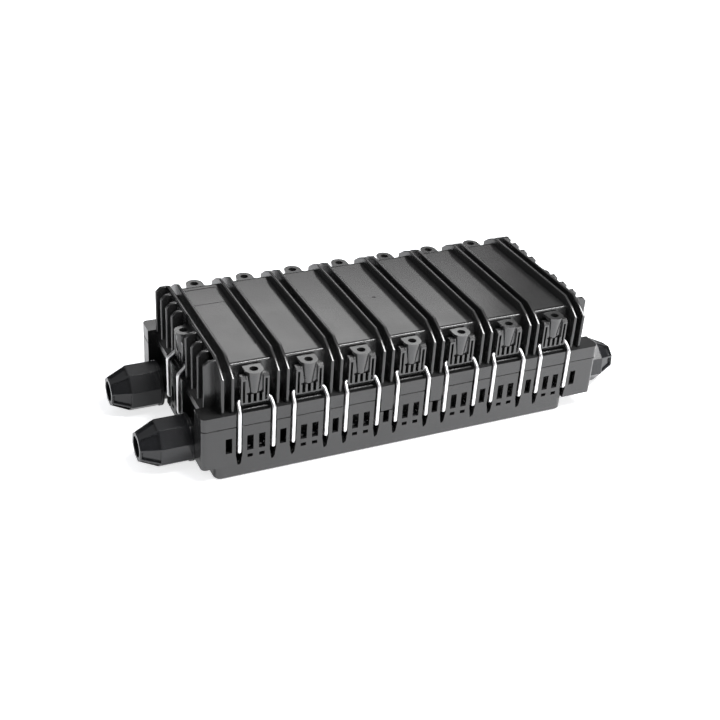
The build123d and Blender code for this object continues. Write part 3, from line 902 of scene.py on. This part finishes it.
    def sleeve(self) -> bpy.types.Object:
        """Make the dark sleeve on one bail's crossbar, painted shade that the skirt's windows show.

        Returns:
            The sleeve in the clip's own frame.
        """
        start = (-self.sleeve_half, self.pivot, self.crossbar)
        radii = (self.sleeve_radius, self.sleeve_radius)
        sleeve = add_drum(start, "X", 2 * self.sleeve_half, radii, self.sleeve_sides)
        with editing(sleeve) as mesh:
            select_faces(mesh, lambda face: abs(face.normal.x) > FACING)
            bpy.ops.mesh.inset(thickness=self.sleeve_rim * MM, depth=0)
            bpy.ops.mesh.inset(thickness=self.sleeve_step * MM, depth=-self.sleeve_dish * MM)
        soften(sleeve, self.sleeve_edge)
        return sleeve

    def lever(self) -> bpy.types.Object:
        """Make one lever: two slotted rails, a recessed web and a tapering boss.

        Returns:
            The lever in the clip's own frame.
        """
        half, front, back = self.lever_half, self.lever_front, self.lever_back
        plate = add_block((-half, front, self.lever_low), (half, back, self.lever_top))
        with editing(plate, Select.EDGES) as mesh:
            for edge in mesh.edges:
                _, y, z = middle_of(edge)
                edge.select_set(y < front + self.corner_slack
                                and z > self.lever_top - self.corner_slack)
            bpy.ops.mesh.bevel(offset=self.lever_corner * MM, segments=1, affect="EDGES")
        cap_low, cap_half = self.boss_top - self.cap_height, self.cap_radii[1]
        cap = add_drum((0, self.boss_y, cap_low), "Z", self.cap_height, self.cap_radii,
                       self.boss_sides)
        wing = add_block((-cap_half, self.boss_y, cap_low),
                         (cap_half, self.cap_back, self.boss_top))
        boss = add_drum((0, self.boss_y, self.boss_low), "Z", self.boss_top - self.boss_low - 1,
                        self.boss_radii, self.boss_sides)
        heel = add_block((-half + self.heel_inset, self.heel_front, self.heel_low),
                         (half - self.heel_inset, back, self.heel_high))
        recess = add_block((-self.recess_half, front - 1, self.recess_low),
                           (self.recess_half, front + self.recess_depth, self.lever_top + 1))
        carve(plate, [recess])
        carve(boss, [add_block(*self.boss_shave)])
        carve(plate, [heel, boss, cap, wing], "UNION")
        carve(plate, self.lever_cutters())
        with editing(plate):
            bpy.ops.mesh.select_all(action="SELECT")
            bpy.ops.mesh.remove_doubles(threshold=self.lever_weld * MM)
            bpy.ops.mesh.dissolve_limited(angle_limit=math.radians(self.lever_flat))
        soften(plate, self.lever_edge)
        return plate

    def lever_cutters(self) -> list[bpy.types.Object]:
        """Make what is cut from a lever.

        Returns:
            The socket's star, the two long slots, the pivot bores and the three short slots.
        """
        cutters = []
        socket = (0, self.boss_y, self.boss_top - self.socket_depth)
        for turn in self.star_turns:
            radii = (self.socket_radius, self.socket_radius)
            cutters.append(add_drum(socket, "Z", self.socket_cut, radii, self.star_sides, turn))
        for side in (-1, 1):
            low, high = sorted(side * x for x in self.rail_slot_x)
            cutters.append(add_block((low, self.rail_slot_y[0], self.rail_slot_z[0]),
                                     (high, self.rail_slot_y[1], self.rail_slot_z[1])))
            bore = (side * self.bore_start, self.pivot, self.hinge)
            radii = (self.bore_radius, self.bore_radius)
            length = side * self.bore_length
            cutters.append(add_drum(bore, "X", length, radii, self.bore_sides))
        for step in (-1, 0, 1):
            x = self.slot_pitch * step
            cutters.append(add_block((x - self.slot_half, self.slot_y[0], self.slot_z[0]),
                                     (x + self.slot_half, self.slot_y[1], self.slot_z[1])))
        return cutters

    def build(self) -> None:
        """Make one bail, sleeve and lever, and copy them to every seat."""
        bail, sleeve, lever = self.bail(), self.sleeve(), self.lever()
        for name, place in self.places().items():
            wire, shade_sleeve = twin(bail, f"bail_{name}", place), twin(sleeve, f"sleeve_{name}", place)
            self.seat(wire, f"bail_{name}", "wire_steel", f"wire_bail_{name}")
            # The sleeve's near-black finish is painted shade in the skirt's windows, hiding the wire
            self.seat(shade_sleeve, f"bail_{name}", "nut_black")
            latch = twin(lever, f"lever_{name}", place)
            self.seat(latch, f"lever_{name}", "lever_black", f"latch_lever_{name}")
        for pattern in (bail, sleeve, lever):
            bpy.data.objects.remove(pattern, do_unlink=True)


@dataclass
class Glands(Assembly):
    """The four octagonal gland nuts, made on the X axis with their noses towards +X.

    Sizes are in millimetres, and the turn is in degrees.
    """

    port_y: float = 44.0
    port_z: float = 20.6
    base: float = 181.3
    body: float = 27.6
    cone: float = 16.4
    corner: float = 20.4
    nose: float = 12.6
    hole: float = 8.8
    turn: float = 16.0
    nut_sides: int = 8
    nut_edge: float = 0.8
    bore: float = 15.3
    bore_sides: int = 40
    shoulder: float = 208.4
    through: float = 60.0
    cone_least: float = 0.1
    pocket_rim: float = 1.3
    pocket_slope: float = 0.5
    pocket_depth: float = 1.7
    ring_radius: float = 20.1
    ring_height: float = 1.1
    ring_step: float = 1.9
    ring_sides: int = 64
    ring_edge: float = 0.25

    def nut(self) -> bpy.types.Object:
        """Make one nut.

        Returns:
            The nut on the X axis, with the rings round its base.
        """
        start, corners = (self.base, 0, 0), (self.corner, self.corner)
        nut = add_drum(start, "X", self.body, corners, self.nut_sides, self.turn)
        with editing(nut) as mesh:
            select_faces(mesh, lambda face: face.normal.x > FACING)
            reach = {"value": (self.cone * MM, 0, 0)}
            bpy.ops.mesh.extrude_region_move(TRANSFORM_OT_translate=reach)
            shrink = self.nose / self.corner
            tip = ((self.base + self.body + self.cone) * MM, 0, 0)
            bpy.ops.transform.resize(value=(1, shrink, shrink), center_override=tip)
            bpy.ops.mesh.select_all(action="DESELECT")
            mesh = bmesh.from_edit_mesh(nut.data)
            select_faces(mesh, lambda face: self.cone_least < face.normal.x < FACING)
            bpy.ops.mesh.inset(thickness=self.pocket_rim * MM, depth=0, use_individual=True)
            bpy.ops.mesh.inset(thickness=self.pocket_slope * MM, depth=-self.pocket_depth * MM,
                               use_individual=True)
        bore = add_drum((self.base - 1, 0, 0), "X", self.shoulder - self.base + 1,
                        (self.bore, self.bore), self.bore_sides)
        hole = add_drum(start, "X", self.through, (self.hole, self.hole), self.bore_sides)
        carve(nut, [bore, hole])
        soften(nut, self.nut_edge)
        return unite([nut, self.collar()], "nut_pattern")

    def collar(self) -> bpy.types.Object:
        """Make the two thin rings round the nut's base.

        Returns:
            The rings on the X axis.
        """
        rings = []
        for start in (self.base, self.base + self.ring_step):
            ring = add_drum((start, 0, 0), "X", self.ring_height,
                            (self.ring_radius, self.ring_radius), self.ring_sides)
            carve(ring, [add_drum((start - 1, 0, 0), "X", self.ring_height + 2,
                                  (self.bore, self.bore), self.bore_sides)])
            soften(ring, self.ring_edge)
            rings.append(ring)
        return unite(rings, "collar")

    def build(self) -> None:
        """Make one nut and copy it to each port."""
        nut = self.nut()
        for end, turn in (("left", math.pi), ("right", 0.0)):
            for row, side in (("front", -1), ("rear", 1)):
                name = f"{row}_{end}"
                place = Matrix.Translation((0, side * self.port_y * MM, self.port_z * MM))
                if turn:
                    place = place @ Matrix.Rotation(turn, 4, "Z")
                copy = twin(nut, f"nut_{name}", place)
                self.seat(copy, f"nut_{name}", "nut_black", f"gland_nut_{name}")
        bpy.data.objects.remove(nut, do_unlink=True)


@dataclass
class Inside(Assembly):
    """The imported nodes: those that no piece stands for keep their shape, and show their finish."""

    def build(self) -> None:
        """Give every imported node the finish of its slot, the replaced ones too."""
        for part in frame["record"]["subparts"]:
            node = frame["nodes"][part["node"]]
            self.box.coat(node, part["material_slot"])


@dataclass
class Studio:
    """Floor, lamps, white surroundings and the camera.

    The angles are in degrees, the focal length is in pixels of the photograph, and the shift says
    in millimetres how far to the right, up and away from the camera the closure's origin lies.
    """

    azimuth: float = -26.402
    elevation: float = 30.647
    roll: float = 3.978
    focal: float = 1217.5
    shift: tuple[float, float, float] = (6.134, -28.894, 1106.469)
    sensor: float = 36.0
    floor_size: float = 12.0
    floor_gap: float = 0.0003
    floor_colour: tuple[float, float, float, float] = (0.82, 0.82, 0.83, 1)
    floor_seen: float = 0.72
    floor_mirrored: float = 0.36
    sky_colour: tuple[float, float, float, float] = (0.92, 0.95, 1.0, 1)
    sky_light: float = 0.35
    sky_heights: tuple[float, float] = (0.54, 0.72)
    sky_mirrored: tuple[float, float] = (0.14, 0.45)
    target: tuple[float, float, float] = (0.0, 0.0, 0.05)

    def camera(self) -> None:
        """Set up the camera at the photograph's view."""
        a, e, r = (math.radians(v) for v in (self.azimuth, self.elevation, self.roll))
        back = Vector((math.sin(a) * math.cos(e), -math.cos(a) * math.cos(e), math.sin(e)))
        right = Vector((0, 0, 1)).cross(back).normalized()
        up = back.cross(right)
        across = math.cos(r) * right + math.sin(r) * up
        rise = -math.sin(r) * right + math.cos(r) * up
        turn = Matrix((across, rise, back)).transposed()
        offset = Vector((self.shift[0], self.shift[1], -self.shift[2])) * MM
        data = bpy.data.cameras.new("camera")
        data.sensor_width = self.sensor
        data.lens = self.focal * data.sensor_width / PIXELS
        camera = bpy.data.objects.new("camera", data)
        camera.matrix_world = Matrix.Translation(turn @ -offset) @ turn.to_4x4()
        bpy.context.collection.objects.link(camera)
        bpy.context.scene.camera = camera

    def floor(self) -> None:
        """Lay a plain white floor that keeps the closure's shadow."""
        bpy.ops.object.select_all(action="DESELECT")
        bpy.ops.mesh.primitive_plane_add(size=self.floor_size, location=(0, 0, -self.floor_gap))
        floor = bpy.context.active_object
        floor.name = "floor"
        material = bpy.data.materials.new("floor_white")
        material.use_nodes = True
        tree = material.node_tree
        tree.nodes.clear()
        out = tree.nodes.new("ShaderNodeOutputMaterial")
        diffuse = tree.nodes.new("ShaderNodeBsdfDiffuse")
        diffuse.inputs["Color"].default_value = self.floor_colour
        glow = tree.nodes.new("ShaderNodeEmission")
        glow.inputs["Color"].default_value = (1, 1, 1, 1)
        path = tree.nodes.new("ShaderNodeLightPath").outputs
        mirrored = maths(tree, "MAXIMUM", path["Is Glossy Ray"], path["Is Transmission Ray"])
        dimmed = maths(tree, "MULTIPLY", mirrored, self.floor_mirrored)
        strength = maths(tree, "MULTIPLY_ADD", path["Is Camera Ray"], self.floor_seen, dimmed)
        tree.links.new(strength, glow.inputs["Strength"])
        both = tree.nodes.new("ShaderNodeAddShader")
        tree.links.new(diffuse.outputs[0], both.inputs[0])
        tree.links.new(glow.outputs[0], both.inputs[1])
        tree.links.new(both.outputs[0], out.inputs["Surface"])
        floor.data.materials.append(material)

    def surroundings(self) -> None:
        """Make the world white to the camera, dimmer in mirrors, and plain grey as a light."""
        world = bpy.data.worlds.new("surroundings")
        bpy.context.scene.world = world
        world.use_nodes = True
        tree = world.node_tree
        tree.nodes.clear()
        out = tree.nodes.new("ShaderNodeOutputWorld")
        seen = tree.nodes.new("ShaderNodeBackground")
        seen.inputs["Color"].default_value = (1, 1, 1, 1)
        light = tree.nodes.new("ShaderNodeBackground")
        light.inputs["Color"].default_value = self.sky_colour
        light.inputs["Strength"].default_value = self.sky_light
        path = tree.nodes.new("ShaderNodeLightPath").outputs
        way = tree.nodes.new("ShaderNodeTexCoord")
        split = tree.nodes.new("ShaderNodeSeparateXYZ")
        rise = tree.nodes.new("ShaderNodeMapRange")
        rise.interpolation_type = "SMOOTHSTEP"
        sockets = ("From Min", "From Max", "To Min", "To Max")
        for socket, value in zip(sockets, (*self.sky_heights, *self.sky_mirrored)):
            rise.inputs[socket].default_value = value
        tree.links.new(way.outputs["Generated"], split.inputs[0])
        tree.links.new(split.outputs["Z"], rise.inputs["Value"])
        full = maths(tree, "MAXIMUM", rise.outputs["Result"], path["Is Camera Ray"])
        tree.links.new(full, seen.inputs["Strength"])
        direct = maths(tree, "MAXIMUM", path["Is Camera Ray"], path["Is Glossy Ray"])
        visible = maths(tree, "MAXIMUM", direct, path["Is Transmission Ray"])
        mix = tree.nodes.new("ShaderNodeMixShader")
        tree.links.new(visible, mix.inputs["Fac"])
        tree.links.new(light.outputs[0], mix.inputs[1])
        tree.links.new(seen.outputs[0], mix.inputs[2])
        tree.links.new(mix.outputs[0], out.inputs["Surface"])

    def lamp(self, name: str, place: tuple[float, float, float], size: tuple[float, float],
             power: float, aimed: bool = True) -> None:
        """Hang a soft rectangular lamp that looks at the closure or straight down.

        Args:
            name: Name of the lamp.
            place: Where it hangs, in metres.
            size: Its width and height, in metres.
            power: Its power in watts.
            aimed: Whether it looks at the closure.
        """
        data = bpy.data.lights.new(name, "AREA")
        data.shape = "RECTANGLE"
        data.size, data.size_y = size
        data.energy = power
        lamp = bpy.data.objects.new(name, data)
        lamp.matrix_world = Matrix.Translation(place)
        if aimed:
            aim = (Vector(self.target) - Vector(place)).to_track_quat("-Z", "Y")
            lamp.matrix_world = lamp.matrix_world @ aim.to_matrix().to_4x4()
        bpy.context.collection.objects.link(lamp)

    def build(self) -> None:
        """Set the whole studio up."""
        self.camera()
        self.floor()
        self.surroundings()
        self.lamp("key_softbox", place=(0.53, -0.40, 1.22), size=(1.1, 0.34), power=30.0,
                  aimed=False)
        self.lamp("back_softbox", place=(0.38, 1.15, 0.85), size=(0.86, 0.21), power=1.75)
        self.lamp("front_fill", place=(0.7, -1.5, 0.5), size=(1.2, 0.7), power=7.0)
        bpy.context.scene.view_settings.view_transform = "Standard"


def main() -> None:
    """Build the closure's looks in order."""
    logging.basicConfig(level=logging.INFO, format="%(name)s: %(message)s")
    box = FinishBox()
    for assembly in (Inside(box), Shells(box), Clips(box), Glands(box)):
        assembly.build()
    Studio().build()


if __name__ == "__main__":
    main()
